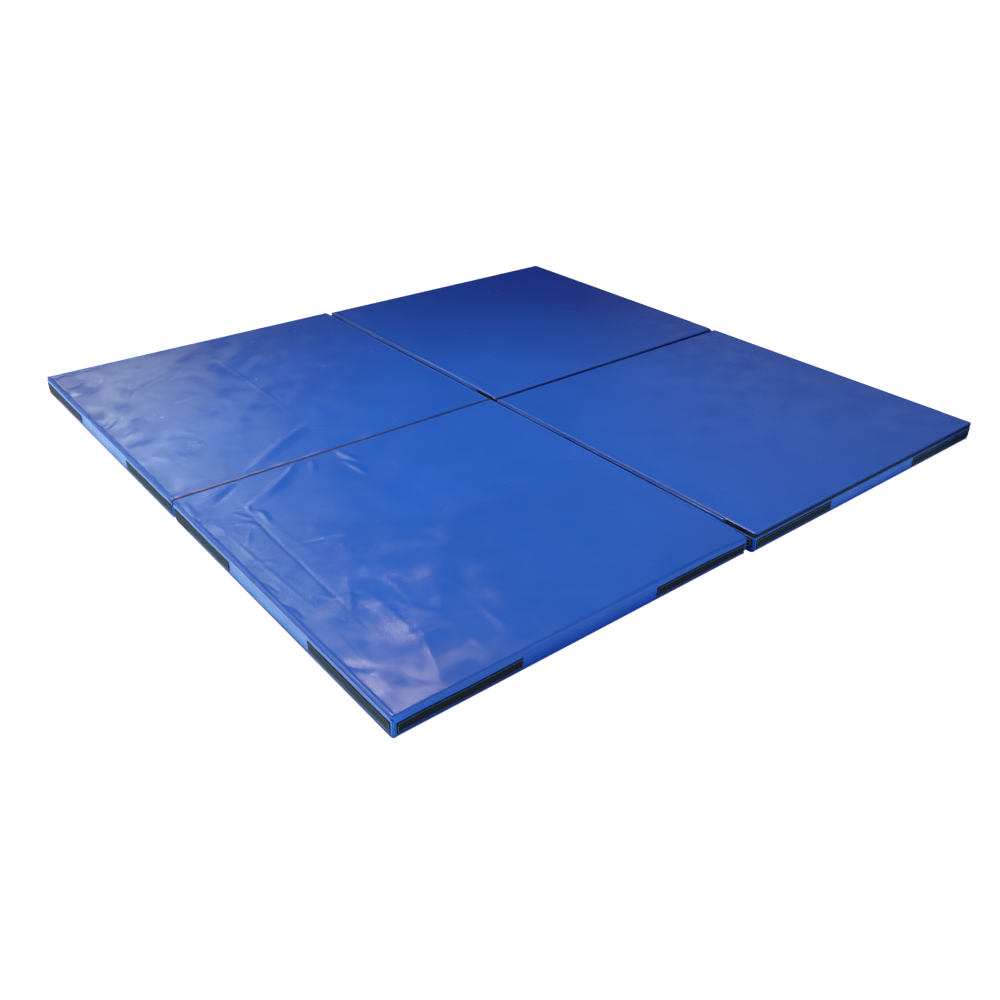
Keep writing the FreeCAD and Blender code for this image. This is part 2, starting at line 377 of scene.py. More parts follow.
def top_rise(x, y):
    """How far the top stands above the flat panel, at a point of the row frame."""
    spot = np.stack([x, y], axis=-1)
    rise = 0.6 * MM * value_noise(spot, 0.33, 1) + 0.22 * MM * value_noise(spot, 0.12, 2)
    rise += 0.05 * MM * value_noise(spot, 0.045, 3)
    for panel in PANELS.values():
        inside = np.minimum(panel.half_x - np.abs(x - panel.centre.x),
                            panel.half_y - np.abs(y - panel.centre.y))
        # the foam's edges are pressed down a little by the sewn cover
        crown = smoothstep(-0.002, 0.07, inside)
        rise = np.where(inside > -0.004, rise * (0.25 + 0.75 * crown) - 1.6 * MM * (1 - crown),
                        rise)
    for left, right, height, *line in ALL_FOLDS:
        rise += fold(x, y, np.reshape(line, (-1, 2)) * MM, (left * MM, right * MM), height * MM)
    # the far edge of the left mat's slit hangs lower than the near one
    near, far = PANELS["left_near"], PANELS["left_far"]
    past_gap = x - (far.centre.x + far.half_x)
    past_slit = y - (far.centre.y - far.half_y)
    droop = SLIT_DROOP * (1 - smoothstep(0, 0.03, past_slit))
    on_left = past_gap < 3 * MM
    rise -= np.where(on_left & (past_slit > -3 * MM), droop, 0)
    # the free corner of the left near panel has dropped into the gap
    corner = np.hypot(past_gap, y - (near.centre.y - near.half_y))
    return rise - np.where(on_left, CORNER_DROP * bell(corner, 0, CORNER_REACH), 0)


def side_swell(panel, own, across):
    """How far the side cloth stands out; own is in the panel's frame, across its normal."""
    row = panel.to_row(own)
    swell = 0.9 * MM * value_noise(row, 0.16, 4) + 0.45 * MM * value_noise(row, 0.05, 5)
    up = own[..., 2] if not panel.turned else THICKNESS - own[..., 2]
    for _, low, high in panel.strips:
        long = int(high[0] - low[0] < high[1] - low[1])
        face = 1 - long
        on_side = across[..., face] * np.sign((low[face] + high[face]) / 2) > 0.7
        inside = (smoothstep(low[long] - 8 * MM, low[long] + 8 * MM, own[..., long])
                  * smoothstep(high[long] + 8 * MM, high[long] - 8 * MM, own[..., long]))
        # cloth bulges over the strip's upper edge, and is flat behind the strip
        top = THICKNESS / 2 + STRIP_HALF - STRIP_SAG
        bulge = bell(up, top + 4.5 * MM, 4 * MM)
        wave = 1 + 0.6 * value_noise(row, 0.035, 6)
        swell += np.where(on_side, inside * bulge * wave * 1.3 * MM, 0)
    fade = smoothstep(0, WRAP_DROP, own[..., 2]) * smoothstep(0, WRAP_DROP, THICKNESS - own[..., 2])
    corner = smoothstep(0.004, 0.03, np.maximum(panel.half_x - np.abs(own[..., 0]),
                                                panel.half_y - np.abs(own[..., 1])))
    in_zip = smoothstep(panel.zip_end + 6 * MM, panel.zip_end - 2 * MM, own[..., 1])
    return swell * fade * corner * (1 - 0.7 * in_zip)


STRIP_LOW, STRIP_HIGH = PANELS["left_near"].strips[0][1:]
STRIP_HALF = (STRIP_HIGH[2] - STRIP_LOW[2]) / 2


def settle(panel, own, across, side=True):
    """Take points of the panel's frame to the row frame, with the cloth's waves."""
    if side:
        own = own + across * side_swell(panel, own, across)[..., None]
    row = panel.to_row(own)
    height = np.clip(row[..., 2] / THICKNESS, 0, 1.2)
    row[..., 2] += top_rise(row[..., 0], row[..., 1]) * height ** TOP_WEIGHT
    row[..., 2] = np.maximum(row[..., 2], 0)         # the floor presses the lower seams flat
    return row


# ---------------- edges of the covers

def quarter_turn(reach, radius):
    """A quarter circle from flat to straight down, as (out, down)."""
    return [(reach - radius + radius * math.sin(a), radius * (1 - math.cos(a)))
            for a in np.linspace(0, math.pi / 2, 7)]


def arc_edge(radius):
    """Flat, then a quarter turn over the edge, then straight down."""
    flat = [(0, 0), ((BORDER - radius) / 2, 0)]
    down = [(BORDER, (radius + WRAP_DROP) / 2), (BORDER, WRAP_DROP)]
    return smooth_path(flat + quarter_turn(BORDER, radius) + down, BORDER_ROWS + 1)


SOFT_EDGE = arc_edge(9 * MM)
TIGHT_EDGE = arc_edge(5 * MM)
SLACK_EDGE = arc_edge(12.5 * MM)
SEAM_EDGE = smooth_path(np.array([
    (0, 0), (3.5, -0.1), (7, -0.8), (9.6, -1.3), (11.8, -0.8), (13.2, 0.6), (13.5, 2.2),
    (12.6, 3.6), (14 - SEAM_PINCH / MM, 4.2)]) * MM, BORDER_ROWS + 1)
HEM_EDGE = smooth_path(np.array([
    (0, 0), (5, -0.1), (9.5, -0.3), (12.2, 0), (13.6, 1.0), (14, 2.1), (13.9, 2.8),
    (13.3, 3.1), (12.4, 3.0)]) * MM, BORDER_ROWS + 1)


class Lines:
    """Mesh lines across a face: core positions, then BORDER_ROWS rows over each edge."""

    def __init__(self, core):
        rows = np.arange(1, BORDER_ROWS + 1)
        self.base = np.concatenate([np.full(BORDER_ROWS, core[0]), core,
                                    np.full(BORDER_ROWS, core[-1])])
        self.row = np.concatenate([-rows[::-1], np.zeros(len(core), int), rows])


def over_edge(row_x, row_y):
    """Direction of a border vertex in plan, its row, and its share of X-side profile."""
    i, j = np.abs(row_x).astype(float), np.abs(row_y).astype(float)
    norm = np.maximum((i ** CORNER_POWER + j ** CORNER_POWER) ** (1 / CORNER_POWER), 1e-9)
    across = np.stack([row_x / norm, row_y / norm, np.zeros(norm.shape)], axis=-1)
    share = i ** 2 / np.maximum(i ** 2 + j ** 2, 1e-9)
    return across, np.maximum(i, j).astype(int), share


def border_grid(xs, ys):
    """Core points of a face's mesh, with what over_edge says of each vertex."""
    row_x, row_y = np.meshgrid(xs.row, ys.row, indexing="ij")
    base = np.zeros(row_x.shape + (3,))
    base[..., 0] = xs.base[:, None]
    base[..., 1] = ys.base[None, :]
    return (base, *over_edge(row_x, row_y))


def face_uv(base, across, profile):
    """Places on the flat cloth, in metres."""
    return base[..., :2] + across[..., :2] * profile.sum(axis=-1, keepdims=True)


def edge_wear(row):
    """Rubbing, worst on the outer half of an edge."""
    return bell(row, 0.6 * BORDER_ROWS, 0.22 * BORDER_ROWS)


def zip_share(panel, y):
    """1 where the zip's opening runs on the panel's X sides, at a Y of its own frame."""
    return smoothstep(panel.zip_end + 0.7 * MM, panel.zip_end - 0.7 * MM, y)


def edge_profile(row, share, seam_zip, y_edge):
    """(out, down) of border vertices between the X-side and the Y-side profiles."""
    x_side = (1 - seam_zip)[..., None] * SEAM_EDGE[row] + seam_zip[..., None] * HEM_EDGE[row]
    return share[..., None] * x_side + (1 - share[..., None]) * y_edge


def face_cover(name, panel, step, outer_side, slit_edge):
    """One panel's face without the fold: slit_edge is the profile of its side at the slit."""
    core_x, core_y = panel.half_x - BORDER, panel.half_y - BORDER
    xs = Lines(graded(-core_x, core_x, step))
    ys = Lines(graded(-core_y, core_y, step))
    base, across, row, share = border_grid(xs, ys)
    soft = (np.sign(ys.row) == outer_side)[None, :, None]
    y_edge = np.where(soft, SOFT_EDGE[row], slit_edge[row])
    profile = edge_profile(row, share, np.zeros(share.shape), y_edge)
    own = base + across * profile[..., :1]
    own[..., 2] = profile[..., 1]
    in_slit = (np.sign(ys.row) == -outer_side)[None, :] & (share < 0.5)
    # painted shade: the cover's edge where it turns down into the slit is darkened, standing in for
    # the shade there
    painted_shade_rows = PAINTED_SLIT_SHADE_ROWS if slit_edge is SLACK_EDGE else TIGHT_PAINTED_SLIT_SHADE_ROWS
    wear_and_shade = np.where(in_slit, -smoothstep(*painted_shade_rows, row), edge_wear(row))
    return new_piece(name, settle(panel, own, across), grid_faces(*row.shape, flip=True),
                     face_uv(base, across, profile), wear_and_shade)


def folding_cover(name, near, far, step):
    """The face that carries on over the fold, from one panel of a mat to the other."""
    middle_y = (near.centre.y + far.centre.y) / 2
    reach = abs(far.centre.y - near.centre.y) / 2 + near.half_y
    gap = abs(far.centre.y - near.centre.y) / 2 - near.half_y
    core_x, core_y = near.half_x - BORDER, reach - BORDER
    zip_ends = (near.zip_end - near.half_y - gap, far.zip_end + far.half_y + gap)
    xs = Lines(graded(-core_x, core_x, step))
    ys = Lines(graded(-core_y, core_y, step,
                      (-gap, gap, gap + BORDER, -gap - BORDER, *zip_ends)))
    base, across, row, share = border_grid(xs, ys)
    y = base[..., 1]
    zips = np.maximum(zip_share(near, y + near.half_y + gap) * (y < 0),
                      zip_share(far, y - far.half_y - gap) * (y > gap))
    y_edge = np.where((ys.row < 0)[None, :, None], HEM_EDGE[row], SOFT_EDGE[row])
    profile = edge_profile(row, share, zips, y_edge)
    # the cloth sags into the fold, and is cut back there to the panels' round corners
    round_off = 5 * MM
    past = np.clip(round_off - (np.abs(y) - gap), 0, round_off)
    cut_back = round_off - np.sqrt(np.maximum(round_off ** 2 - past ** 2, 0))
    dip = FOLD_DIP * bell(y, 0, gap + FOLD_SPREAD)
    in_fold = smoothstep(gap + 4 * MM, gap, np.abs(y))
    own = base + across * (profile[..., 0] - cut_back * profile[..., 0] / BORDER)[..., None]
    own[..., 2] = THICKNESS - profile[..., 1] * (1 - 0.8 * in_fold) - dip
    wear_and_shade = np.maximum(edge_wear(row), bell(np.abs(y), gap + 8 * MM, 4 * MM))
    # painted shade: negative values darken the cloth down in the fold's valley, standing in for its
    # shade
    wear_and_shade = np.where(np.abs(y) < gap + 5 * MM, -0.8 * bell(y, 0, gap + 1 * MM), wear_and_shade)
    points = np.zeros(own.shape)
    for panel, mine in ((near, y <= 0), (far, y > 0)):
        to_panel = (middle_y - panel.centre.y) * (-1 if panel.turned else 1)
        points[mine] = settle(panel, own + (0, to_panel, 0), across)[mine]
    return new_piece(name, points, grid_faces(*row.shape), face_uv(base, across, profile), wear_and_shade)


def perimeter(panel, step):
    """Stations round a panel: core point, border rows in X and Y, anticlockwise."""
    core_x, core_y = panel.half_x - BORDER, panel.half_y - BORDER
    strip_ends = [round(v, 4) for _, low, high in panel.strips for v in (*low[:2], *high[:2])]
    x = graded(-core_x, core_x, step, strip_ends, 1.5 * MM)
    y = graded(-core_y, core_y, step, [panel.zip_end, *strip_ends], 0.8 * MM)
    m = BORDER_ROWS
    up, down = np.arange(1, m + 1), np.arange(m - 1, 0, -1)
    runs = [
        (x, -core_y, 0, -m), (core_x, -core_y, up, -m), (core_x, -core_y, m, -down),
        (core_x, y, m, 0), (core_x, core_y, m, up), (core_x, core_y, down, m),
        (x[::-1], core_y, 0, m), (-core_x, core_y, -up, m), (-core_x, core_y, -m, down),
        (-core_x, y[::-1], -m, 0), (-core_x, -core_y, -m, -up), (-core_x, -core_y, -down, -m)]
    columns = zip(*(np.broadcast_arrays(*run) for run in runs))
    return [np.concatenate(column).astype(float) for column in columns]


def corner_seam(row_x, row_y):
    """Two rolls and a groove where the side cloth is sewn together at a corner."""
    from_corner = (np.abs(row_x) - np.abs(row_y)) * (BORDER / BORDER_ROWS)
    roll = bell(np.abs(from_corner), 2.6 * MM, 1.3 * MM)
    return 0.8 * MM * roll - 1.1 * MM * bell(from_corner, 0, 0.9 * MM)


def side_cover(name, panel):
    base_x, base_y, row_x, row_y = perimeter(panel, SIDE_STEP)
    across, _, share = over_edge(row_x, row_y)
    zips = np.where(base_y < 0, np.maximum(zip_share(panel, base_y),
                                           (row_y <= -BORDER_ROWS) * 1.0), 0)
    at_fold = FOLD_SIDE[panel.name] * row_y > 0
    top_wrap = np.where(at_fold, 3 * MM, WRAP_DROP)
    top = (1 - zips) * (THICKNESS - share * SEAM_EDGE[-1][1] - (1 - share) * top_wrap)
    top += zips * panel.zip_base
    bottom = share * SEAM_EDGE[-1][1] + (1 - share) * WRAP_DROP
    fraction = (1 - np.cos(math.pi * np.linspace(0, 1, SIDE_ROWS + 1))) / 2
    z = top[:, None] + (bottom - top)[:, None] * fraction
    from_top, from_bottom = top[:, None] - z, z - bottom[:, None]

    def seam(distance, sewn, hemmed):
        pinch = SEAM_PINCH * np.exp(-(np.maximum(distance, 0) / (1.3 * MM)) ** 1.5)
        bead = 0.7 * MM * bell(distance, 3.8 * MM, 1.8 * MM)
        return (bead - pinch) * sewn - HEM_PINCH * bell(distance, 0, 0.5 * MM) * hemmed

    out = BORDER + seam(from_top, (share * (1 - zips))[:, None], zips[:, None])
    out = out + seam(from_bottom, share[:, None], 0)
    out = out + corner_seam(row_x, row_y)[:, None] * smoothstep(0, 4 * MM, from_top)
    base = np.stack(np.broadcast_arrays(base_x[:, None], base_y[:, None], z), axis=-1)
    wide = np.broadcast_to(across[:, None, :], base.shape)
    own = base + wide * out[..., None]
    along = distances(own[:, SIDE_ROWS // 2, :2])
    uv = np.stack(np.broadcast_arrays(along[:, None], z), axis=-1)
    wear_and_shade = 0.8 * bell(from_top, 0, 5 * MM) + bell(from_bottom, 0, 6 * MM)
    faces = grid_faces(*z.shape, closed=True, flip=True)
    return new_piece(name, settle(panel, own, wide), faces, uv, np.clip(wear_and_shade, 0, 1))


# Y side of each panel that faces the fold, in the panel's own frame
FOLD_SIDE = {"left_near": -1, "left_far": 1, "right_near": 1, "right_far": -1}


# ---------------- foam

FOAM_INSET = 3 * MM
FOAM_UNDER = 4 * MM          # foam below the cover's face, so that no wave shows it
FOAM_ROUND = 6 * MM


def foam_block(name, panel):
    """The foam as a closed block that follows the cover's waves from inside."""
    reach = BORDER - FOAM_INSET
    half_height = THICKNESS / 2 - FOAM_UNDER
    edge = smooth_path([(0, 0), *quarter_turn(reach, FOAM_ROUND), (reach, half_height)],
                       BORDER_ROWS + 1)
    core_x, core_y = panel.half_x - BORDER, panel.half_y - BORDER
    xs = Lines(graded(-core_x, core_x, 30 * MM))
    ys = Lines(graded(-core_y, core_y, 30 * MM))
    base, across, row, _ = border_grid(xs, ys)
    halves, faces = [], []
    for upper in (True, False):
        own = base + across * edge[row][..., :1]
        depth = FOAM_UNDER + edge[row][..., 1]
        own[..., 2] = THICKNESS - depth if upper else depth
        first = len(halves) * row.size
        faces += [[v + first for v in quad] for quad in grid_faces(*row.shape, flip=not upper)]
        halves.append(settle(panel, own, across, side=False).reshape(-1, 3))
    piece = new_piece(name, np.concatenate(halves), faces)
    weld(piece)
    return piece


def weld(piece):
    """Join vertices that lie on each other."""
    mesh = bmesh.new()
    mesh.from_mesh(piece.data)
    bmesh.ops.remove_doubles(mesh, verts=mesh.verts, dist=0.01 * MM)
    mesh.to_mesh(piece.data)
    mesh.free()


# ---------------- swept pieces and thread

def tube_faces(rings, sides, first=0, flip=False):
    """Quads from ring to ring of a closed piece, then a cap on each end."""
    faces = []
    for i in range(0, (rings - 1) * sides, sides):
        for side in range(sides):
            j, k = (side, (side + 1) % sides)[::-1 if flip else 1]
            faces.append([i + j, i + k, i + sides + k, i + sides + j])
    start = list(range(sides))
    end = [(rings - 1) * sides + j for j in start]
    faces += [start, end[::-1]] if flip else [start[::-1], end]
    return [[first + v for v in face] for face in faces]


def sweep(name, rings, uv=None):
    """A closed solid from rings of points, capped at both ends."""
    return new_piece(name, rings, tube_faces(*rings.shape[:2]), uv)


def join(name, pieces):
    """Several pieces as one."""
    bpy.ops.object.select_all(action="DESELECT")
    for piece in pieces:
        piece.select_set(True)
    bpy.context.view_layer.objects.active = pieces[0]
    if len(pieces) > 1:
        bpy.ops.object.join()
    pieces[0].name = name
    pieces[0].data.name = name
    return pieces[0]


STITCH_LENGTH = 3.4 * MM
STITCH_PITCH = 4.6 * MM
THREAD_RADIUS = 0.38 * MM


def unit(vectors):
    return vectors / np.maximum(np.linalg.norm(vectors, axis=-1, keepdims=True), 1e-12)


def bars(name, middles, along, outward, rings, sides=5):
    """One small rounded bar at each middle; rings are (along, outward, radius)."""
    forward = unit(along)
    out = unit(outward - (outward * forward).sum(-1, keepdims=True) * forward)
    beside = np.cross(forward, out)
    turn = np.arange(sides) * 2 * math.pi / sides
    forward, out, beside = (v[:, None, None, :] for v in (forward, out, beside))
    ahead, lift, radius = np.array(rings).T[:, None, :, None, None]
    circle = np.cos(turn)[:, None] * out + np.sin(turn)[:, None] * beside
    points = middles[:, None, None, :] + (ahead * forward + lift * out) + circle * radius
    faces = []
    for bar in range(len(middles)):
        faces += tube_faces(len(rings), sides, bar * len(rings) * sides, flip=True)
    return new_piece(name, points, faces)


def stitches(name, lines):
    """Lock stitches along lines of (points, outward directions)."""
    middles, along, outward = [], [], []
    for points, out in lines:
        length = distances(points)[-1]
        at = np.arange(STITCH_PITCH / 2, length, STITCH_PITCH)
        ahead = along_path(points, points, np.minimum(at + 0.5 * MM, length))
        behind = along_path(points, points, np.maximum(at - 0.5 * MM, 0))
        middles.append(along_path(points, points, at))
        along.append(ahead - behind)
        outward.append(along_path(points, out, at))
    half = STITCH_LENGTH / 2
    rings = [(-half, -0.5 * MM, 0.5 * THREAD_RADIUS), (-0.75 * half, 0, THREAD_RADIUS),
             (0, 0.12 * MM, 1.1 * THREAD_RADIUS), (0.75 * half, 0, THREAD_RADIUS),
             (half, -0.5 * MM, 0.5 * THREAD_RADIUS)]
    return bars(name, np.concatenate(middles), np.concatenate(along),
                np.concatenate(outward), rings)


# ---------------- hook-and-loop strips

STITCH_INSET = 3.2 * MM
# half of a strip's section across its height, as (share from the middle, outward)
STRIP_FRONT = [(0, 1.75), (0.45, 1.8), (0.68, 1.75), (0.755, 1.3), (0.83, 1.7), (0.95, 1.6),
               (1.0, 1.1), (1.0, 0.3)]


def strip_frame(panel, low, high):
    """Centre, half length, half height, along axis and outward direction of a strip."""
    middle = (low + high) / 2
    size = high - low
    face = 0 if size[0] < size[1] else 1
    out = np.zeros(3)
    out[face] = np.sign(middle[face])
    along = np.zeros(3)
    along[1 - face] = 1
    middle[face] = out[face] * (panel.half_x if face == 0 else panel.half_y)
    middle[2] += STRIP_SAG * (1 if panel.turned else -1)
    return middle, size[1 - face] / 2, size[2] / 2, along, out


def on_strip(panel, strip, run, rise, proud):
    """Points of the row frame on a strip: run along it, rise across it, proud of the side."""
    middle, _, _, along, out = strip
    run, rise, proud = np.broadcast_arrays(run, rise, proud)
    own = middle + run[..., None] * along + rise[..., None] * np.array([0, 0, 1.0])
    across = np.broadcast_to(out, own.shape)
    own = own + across * (side_swell(panel, own, across) + proud)[..., None]
    return settle(panel, own, across, side=False)


def strip_piece(name, panel, strip):
    _, half_length, half_height, along, out = strip
    front = np.array(STRIP_FRONT)
    section = np.concatenate([front[::-1] * (-1, 1), front[1:]])
    rises = section[:, 0] * half_height
    prouds = section[:, 1] * MM
    runs = graded(-half_length, half_length, 8 * MM, (), 0.5 * MM)
    end = smoothstep(0, 1.2 * MM, half_length - np.abs(runs))
    groove = 0.45 * MM * bell(half_length - np.abs(runs), STITCH_INSET, 0.8 * MM)
    inside = np.abs(rises)[None, :] < 0.8 * half_height
    proud = prouds[None, :] * (0.35 + 0.65 * end[:, None]) - groove[:, None] * inside
    rings = on_strip(panel, strip, runs[:, None], rises[None, :], proud)
    uv = np.stack(np.broadcast_arrays(runs[:, None], rises[None, :]), axis=-1)
    if np.cross(along, (0, 0, 1)) @ out > 0:
        rings, uv = rings[::-1], uv[::-1]
    return sweep(name, rings, uv)


def strip_outline(panel, strip):
    """The line of stitches round a strip, with its outward directions."""
    _, half_length, half_height, _, out = strip
    long, high = half_length - STITCH_INSET, half_height - STITCH_INSET
    runs = np.arange(-long, long, 4 * MM)
    rises = np.arange(-high, high, 4 * MM)
    run = np.concatenate([runs, np.full(len(rises), long), -runs, np.full(len(rises), -long)])
    rise = np.concatenate([np.full(len(runs), -high), rises, np.full(len(runs), high), -rises])
    points = on_strip(panel, strip, run, rise, 1.55 * MM)
    return points, np.broadcast_to(out * ((1, -1, -1) if panel.turned else 1), points.shape)


# ---------------- zips

TAPE_BEHIND = 1.1 * MM       # face of the tape behind the face of the cover
TAPE_THICK = 0.7 * MM
TAPE_TAIL = 4 * MM
TOOTH_PITCH = 2.5 * MM


class ZipRun:
    """The way that a panel's zip goes: round its -Y side and both returns."""

    def __init__(self, panel):
        base_x, base_y, row_x, row_y = perimeter(panel, SIDE_STEP)
        self.panel = panel
        on_run = (row_y < 0) | ((row_y == 0) & (base_y <= panel.zip_end + TAPE_TAIL))
        order = np.roll(np.arange(len(base_x)), len(base_x) // 4)
        order = order[on_run[order]]
        self.base = np.stack([base_x, base_y, 0 * base_x], axis=-1)[order]
        self.across = over_edge(row_x, row_y)[0][order]

    def points(self, out, z):
        """Points at each station, for each pair of out and z, in the row frame."""
        own = self.base[:, None, :] + self.across[:, None, :] * (BORDER + out)[None, :, None]
        own[..., 2] = z
        across = np.broadcast_to(self.across[:, None, :], own.shape)
        return settle(self.panel, own, across)

    def line(self, out, z):
        return self.points(np.array([out]), z)[:, 0]

    def length_to(self, y):
        """How much of the run lies past a Y of the panel's frame, on either return."""
        line = self.line(0, self.panel.zip_middle)
        return distances(line)[np.argmax(self.panel.to_own(line)[:, 1] < y)]


def tape_section(z_low, z_high):
    """A closed section, rounded at its ends, as (out, z) going round."""
    middle = -TAPE_BEHIND - TAPE_THICK / 2
    z = np.linspace(z_low, z_high, 9)
    bow = np.sqrt(np.clip(1 - np.abs(2 * (z - z_low) / (z_high - z_low) - 1) ** 12, 0, 1))
    front = np.stack([middle + TAPE_THICK / 2 * bow, z], axis=-1)
    back = np.stack([middle - TAPE_THICK / 2 * bow, z], axis=-1)[::-1]
    return np.concatenate([front, back[1:-1]])


def zip_tapes(name, panel, run):
    slit = 0.5 * MM
    spans = [(panel.zip_base - 4 * MM, panel.zip_middle - slit),
             (panel.zip_middle + slit, panel.zip_top + 0.4 * MM)]
    tapes = []
    for number, (z_low, z_high) in enumerate(spans):
        section = tape_section(z_low, z_high)
        rings = run.points(section[:, 0], section[:, 1])
        along = distances(rings[:, 0])
        uv = np.stack(np.broadcast_arrays(along[:, None], section[None, :, 1]), axis=-1)
        tapes.append(sweep(f"{name}_{number}", rings, uv))
    return join(name, tapes)


def zip_teeth(name, panel, run):
    """Two rows of nylon coil, seen as ribs whose heads interlock along the middle."""
    start = run.length_to(panel.chain_end)
    middle = run.line(0, panel.zip_middle)
    upper = run.line(0, panel.zip_middle + 1 * MM)
    outer = run.line(1 * MM, panel.zip_middle)
    stop = distances(middle)[-1] - start
    rings = MM * np.array([(3.2, -1.1, 0.42), (2.7, -0.1, 0.5), (1.6, 0.15, 0.52),
                           (0.4, 0.15, 0.56), (-0.5, -0.1, 0.6), (-0.8, -0.5, 0.35)])
    rows = []
    for side in (-1, 1):
        at = np.arange(start + (0.5 + 0.25 * side) * TOOTH_PITCH, stop, TOOTH_PITCH)
        centre = along_path(middle, middle, at)
        across = side * along_path(middle, upper - middle, at)
        out = along_path(middle, outer - middle, at)
        rows.append(bars(f"{name}_{side + 1}", centre, across, out, rings, sides=4))
    return join(name, rows)


def zip_hem_line(panel, run):
    """The line of stitches in the cover, below the zip's opening."""
    z = panel.zip_base - 2.2 * MM
    points = run.line(0.1 * MM, z)
    return points, run.line(1.1 * MM, z) - points


# ---------------- camera, floor and light

def make_camera():
    azimuth = math.radians(CAMERA_AZIMUTH)
    tilt = math.radians(CAMERA_TILT)
    sight = Vector((math.cos(azimuth) * math.cos(tilt), math.sin(azimuth) * math.cos(tilt),
                    -math.sin(tilt)))
    level = sight.cross(Vector((0, 0, 1))).normalized()
    right = Matrix.Rotation(-math.radians(CAMERA_ROLL), 3, sight) @ level
    above = right.cross(sight)
    data = bpy.data.cameras.new("camera")
    data.sensor_width = 36
    data.lens = CAMERA_LENS
    camera = bpy.data.objects.new("camera", data)
    rotation = Matrix((right, above, -sight)).transposed()
    camera.matrix_world = Matrix.Translation(CAMERA_PLACE) @ rotation.to_4x4()
    scene.collection.objects.link(camera)
    scene.camera = camera


THREAD_PITCH = 3.3 * MM      # of the weave under the cover's coating
HOOK_PITCH = 1.6 * MM
TWILL_PITCH = 0.9 * MM


class Nodes:
    """Short hand for building a node tree."""

    def __init__(self, tree):
        self.tree = tree

    def feed(self, socket, value):
        """Link a socket to another's output, or give it a constant."""
        if isinstance(value, bpy.types.NodeSocket):
            self.tree.links.new(value, socket)
        else:
            socket.default_value = value

    def shade(self, **values):
        """Feed the shader's sockets, named with _ for each space."""
        for name, value in values.items():
            shader = self.tree.nodes["Principled BSDF"]
            self.feed(shader.inputs[name.replace("_", " ")], value)

    def add(self, kind, inputs=None, **settings):
        node = self.tree.nodes.new(kind)
        for key, value in settings.items():
            setattr(node, key, value)
        for key, value in (inputs or {}).items():
            self.feed(node.inputs[key], value)
        return node

    def math(self, operation, first, second=0.0):
        return self.add("ShaderNodeMath", {0: first, 1: second}, operation=operation).outputs[0]

    def cloth(self):
        """Place on the flat cloth in metres, and its X and Y."""
        place = self.add("ShaderNodeUVMap", uv_map="cloth").outputs[0]
        parts = self.add("ShaderNodeSeparateXYZ", {0: place})
        return place, parts.outputs["X"], parts.outputs["Y"]

    def wave(self, value, pitch):
        return self.math("SINE", self.math("MULTIPLY", value, 2 * math.pi / pitch))

    def noise(self, vector, scale, detail=3.0, roughness=0.5):
        return self.add("ShaderNodeTexNoise", {
            "Vector": vector, "Scale": scale, "Detail": detail,
            "Roughness": roughness}).outputs["Fac"]

    def ramp(self, value, low, high, to_low=0.0, to_high=1.0):
        return self.add("ShaderNodeMapRange", {
            "Value": value, "From Min": low, "From Max": high,
            "To Min": to_low, "To Max": to_high}).outputs["Result"]

    def mix(self, factor, first, second):
        return self.add("ShaderNodeMix", {0: factor, 6: first, 7: second},
                        data_type="RGBA").outputs[2]

    def bump(self, height, strength, distance, **under):
        return self.add("ShaderNodeBump", {"Height": height, "Strength": strength,
                                           "Distance": distance, **under}).outputs["Normal"]


def rgb(red, green, blue):
    return (red, green, blue, 1.0)


def new_material(name):
    material = bpy.data.materials.new(name)
    material.use_nodes = True
    return material, Nodes(material.node_tree)


def cover_material():
    """Satin PVC on a woven scrim, in royal blue."""
    material, nodes = new_material("cover_blue")
    cloth, along, up = nodes.cloth()
    wear_and_shade = nodes.add("ShaderNodeAttribute", attribute_name="wear_and_shade").outputs["Fac"]
    rubbed = nodes.math("MAXIMUM", wear_and_shade, 0.0)
    # painted shade: negative attribute values darken the cloth and make it rougher, standing in for
    # the shade in the slits and the fold; positive values are real rubbing
    painted_shade = nodes.math("MAXIMUM", nodes.math("MULTIPLY", wear_and_shade, -1.0), 0.0)
    weave = nodes.math("ADD", nodes.wave(along, THREAD_PITCH), nodes.wave(up, THREAD_PITCH))
    scrim = nodes.math("MULTIPLY", weave, 0.5)
    strength = nodes.ramp(nodes.noise(cloth, 12.0, 4.0), 0.35, 0.7, 0.35, 1.0)
    normal = nodes.bump(nodes.math("MULTIPLY", scrim, strength), 0.9, 0.28 * MM)
    normal = nodes.bump(nodes.noise(cloth, 1400.0, 2.0), 0.35, 0.05 * MM, Normal=normal)
    colour = nodes.mix(nodes.ramp(nodes.noise(cloth, 3.0, 3.0), 0.3, 0.7),
                       rgb(0.010, 0.088, 0.44), rgb(0.013, 0.104, 0.50))
    dust = nodes.ramp(nodes.noise(cloth, 45.0, 6.0, 0.7), 0.55, 0.85, 0.0, 0.05)
    colour = nodes.mix(nodes.math("ADD", dust, nodes.math("MULTIPLY", rubbed, 0.10)), colour,
                       rgb(0.10, 0.20, 0.52))
    # painted shade: the cloth turns dark navy where the slit and fold shade is painted
    colour = nodes.mix(nodes.math("MULTIPLY", painted_shade, 0.92), colour, rgb(0.003, 0.018, 0.10))
    smear = nodes.ramp(nodes.noise(cloth, 7.0, 5.0, 0.6), 0.3, 0.7, -0.03, 0.03)
    rough = nodes.math("ADD", nodes.math("ADD", smear, nodes.math("MULTIPLY", rubbed, 0.08)), 0.25)
    rough = nodes.math("ADD", rough, nodes.math("MULTIPLY", painted_shade, 0.3))
    nodes.shade(Base_Color=colour, Roughness=rough, Normal=normal, IOR=1.5)
    return material


